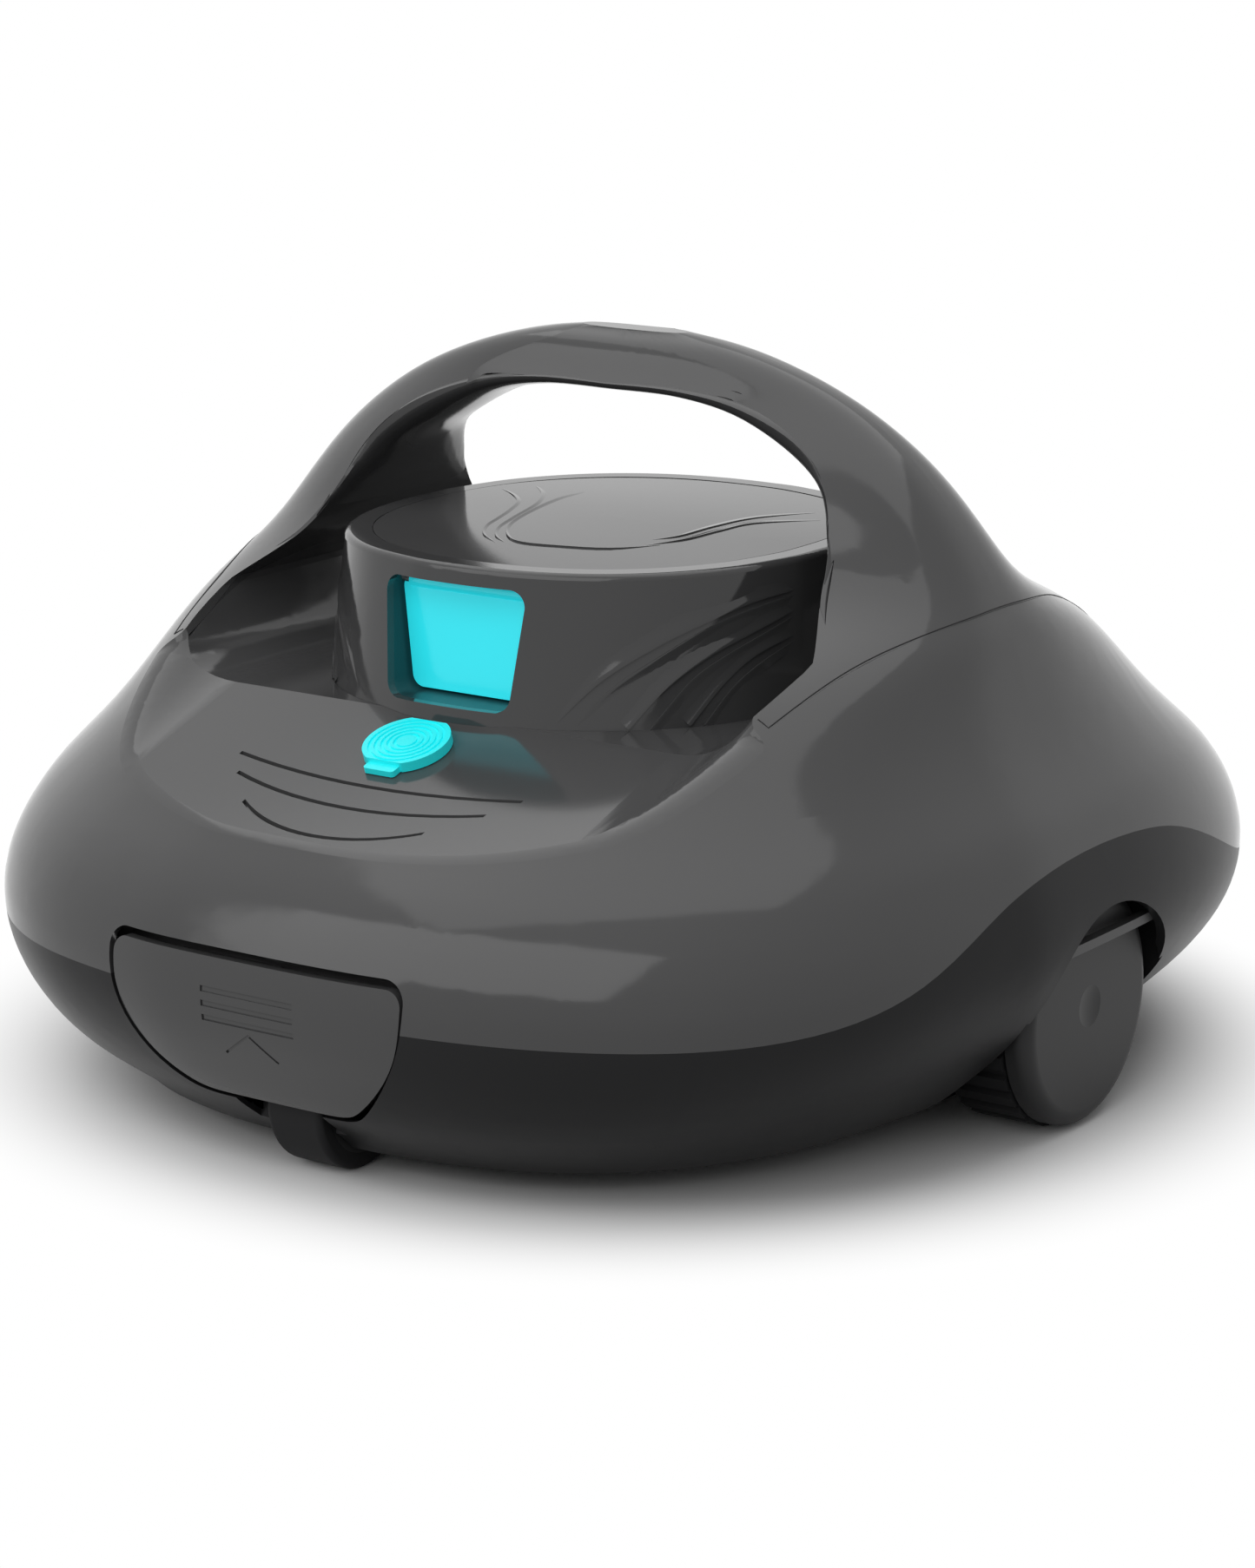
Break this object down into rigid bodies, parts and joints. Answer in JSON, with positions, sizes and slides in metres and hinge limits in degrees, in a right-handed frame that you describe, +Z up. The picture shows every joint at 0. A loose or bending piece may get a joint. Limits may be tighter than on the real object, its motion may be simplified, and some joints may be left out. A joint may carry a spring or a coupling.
{
  "type": "pool cleaner",
  "caption": "Cordless two-way jet pool cleaner: rounded grey body with an arched carrying handle, a central jet tower with cyan flaps, side wheels, rollers and a floor inlet.",
  "frame": {"origin": "On the pool floor, under the middle of the body.", "axes": "+Z up, front with the charge cap towards -Y, +X to the viewer's right as seen from the front; left and right in node names are as seen from the front."},
  "size_m": [0.3428, 0.3832, 0.2252],
  "materials": {
    "shell_grey": "satin dark grey moulded plastic",
    "handle_trim": "matte dark grey moulded plastic",
    "base_grey": "matte dark grey moulded plastic",
    "tower_grey": "satin dark grey moulded plastic",
    "lid_grey": "satin grey moulded plastic",
    "duct_teal": "dark moulded plastic",
    "cyan_flap": "bright cyan plastic",
    "cyan_rubber": "bright cyan rubber",
    "inner_plastic": "plain dark moulded plastic",
    "filter_plastic": "plain dark moulded plastic",
    "filter_net": "fine woven mesh",
    "flap_rubber": "black rubber",
    "button_plastic": "light grey plastic",
    "tread_rubber": "dark grey rubber",
    "wheel_plastic": "matte dark grey plastic",
    "steel": "stainless steel",
    "motor_can": "plated steel can",
    "cell_wrap": "shrink-wrapped cells",
    "board_green": "green circuit board",
    "contact_brass": "gold-plated brass"
  },
  "bodies": {
    "root": {"axle_clips": "steel", "battery_cells": "cell_wrap", "battery_housing": "inner_plastic", "battery_lid": "inner_plastic", "charge_contacts": "contact_brass", "charge_socket": "inner_plastic", "control_board": "board_green", "control_housing": "inner_plastic", "control_lid": "inner_plastic", "filter_basket": "filter_plastic", "filter_mesh": "filter_net", "handle_liner": "handle_trim", "handle_screws": "steel", "handle_shell": "shell_grey", "inlet_flap_pins": "steel", "inlet_frame": "filter_plastic", "jet_flap_pins": "steel", "jet_tower": "tower_grey", "latch_pins": "steel", "lower_base": "base_grey", "motor_cap": "inner_plastic", "motor_pod": "inner_plastic", "pump_motor": "motor_can", "pump_tube": "inner_plastic", "pump_volute": "duct_teal", "roller_axles": "steel", "separator_plate": "inner_plastic", "shaft_seal": "flap_rubber", "tower_gasket": "flap_rubber", "tower_lid": "lid_grey", "tower_screws": "steel", "upper_shell": "shell_grey", "wheel_axles": "steel"},
    "left_wheel": {"left_wheel_tyre": "tread_rubber", "left_wheel_hub": "wheel_plastic", "left_wheel_cover": "wheel_plastic"},
    "right_wheel": {"right_wheel_tyre": "tread_rubber", "right_wheel_hub": "wheel_plastic", "right_wheel_cover": "wheel_plastic"},
    "front_roller": {"front_roller": "wheel_plastic", "front_roller_tyre": "tread_rubber"},
    "rear_roller": {"rear_roller": "wheel_plastic", "rear_roller_tyre": "tread_rubber"},
    "impeller": {"impeller": "inner_plastic", "motor_shaft": "steel"},
    "front_jet_flap": {"front_jet_flap": "cyan_flap"},
    "rear_jet_flap": {"rear_jet_flap": "cyan_flap"},
    "front_latch": {"front_latch": "shell_grey"},
    "rear_latch": {"rear_latch": "shell_grey"},
    "charge_cap": {"charge_cap": "cyan_rubber"},
    "power_button": {"power_button": "button_plastic"},
    "front_inlet_flap": {"front_inlet_flap": "flap_rubber"},
    "rear_inlet_flap": {"rear_inlet_flap": "flap_rubber"}
  },
  "joints": [
    {"name": "left_wheel_spin", "type": "hinge", "parent": "root", "child": "left_wheel", "pos_m": [-0.144, 0, 0.0375], "axis": [1, 0, 0], "continuous": true},
    {"name": "right_wheel_spin", "type": "hinge", "parent": "root", "child": "right_wheel", "pos_m": [0.144, 0, 0.0375], "axis": [1, 0, 0], "continuous": true},
    {"name": "front_roller_spin", "type": "hinge", "parent": "root", "child": "front_roller", "pos_m": [0, -0.1507, 0.021], "axis": [1, 0, 0], "continuous": true},
    {"name": "rear_roller_spin", "type": "hinge", "parent": "root", "child": "rear_roller", "pos_m": [0, 0.1507, 0.021], "axis": [1, 0, 0], "continuous": true},
    {"name": "impeller_spin", "type": "hinge", "parent": "root", "child": "impeller", "pos_m": [0, -0.011, 0.12], "axis": [0, 0, 1], "continuous": true},
    {"name": "front_jet_flap_hinge", "type": "hinge", "parent": "root", "child": "front_jet_flap", "pos_m": [0, -0.084, 0.1586], "axis": [-1, 0, 0], "range_deg": [0, 75]},
    {"name": "rear_jet_flap_hinge", "type": "hinge", "parent": "root", "child": "rear_jet_flap", "pos_m": [0, 0.062, 0.1586], "axis": [1, 0, 0], "range_deg": [0, 75]},
    {"name": "front_latch_hinge", "type": "hinge", "parent": "root", "child": "front_latch", "pos_m": [0, -0.1832, 0.065], "axis": [-1, 0, 0], "range_deg": [0, 50]},
    {"name": "rear_latch_hinge", "type": "hinge", "parent": "root", "child": "rear_latch", "pos_m": [0, 0.1832, 0.065], "axis": [1, 0, 0], "range_deg": [0, 50]},
    {"name": "charge_cap_pull", "type": "slide", "parent": "root", "child": "charge_cap", "axis": [0, -0.3253, 0.9456], "range_m": [0, 0.015]},
    {"name": "power_button_press", "type": "slide", "parent": "root", "child": "power_button", "axis": [0, 0.3253, -0.9456], "range_m": [0, 0.0015], "stiffness_N_per_m": 200, "springref_m": -0.001},
    {"name": "front_inlet_flap_hinge", "type": "hinge", "parent": "root", "child": "front_inlet_flap", "pos_m": [0, -0.023, 0.0162], "axis": [1, 0, 0], "range_deg": [0, 60]},
    {"name": "rear_inlet_flap_hinge", "type": "hinge", "parent": "root", "child": "rear_inlet_flap", "pos_m": [0, 0.023, 0.0162], "axis": [-1, 0, 0], "range_deg": [0, 60]}
  ]
}
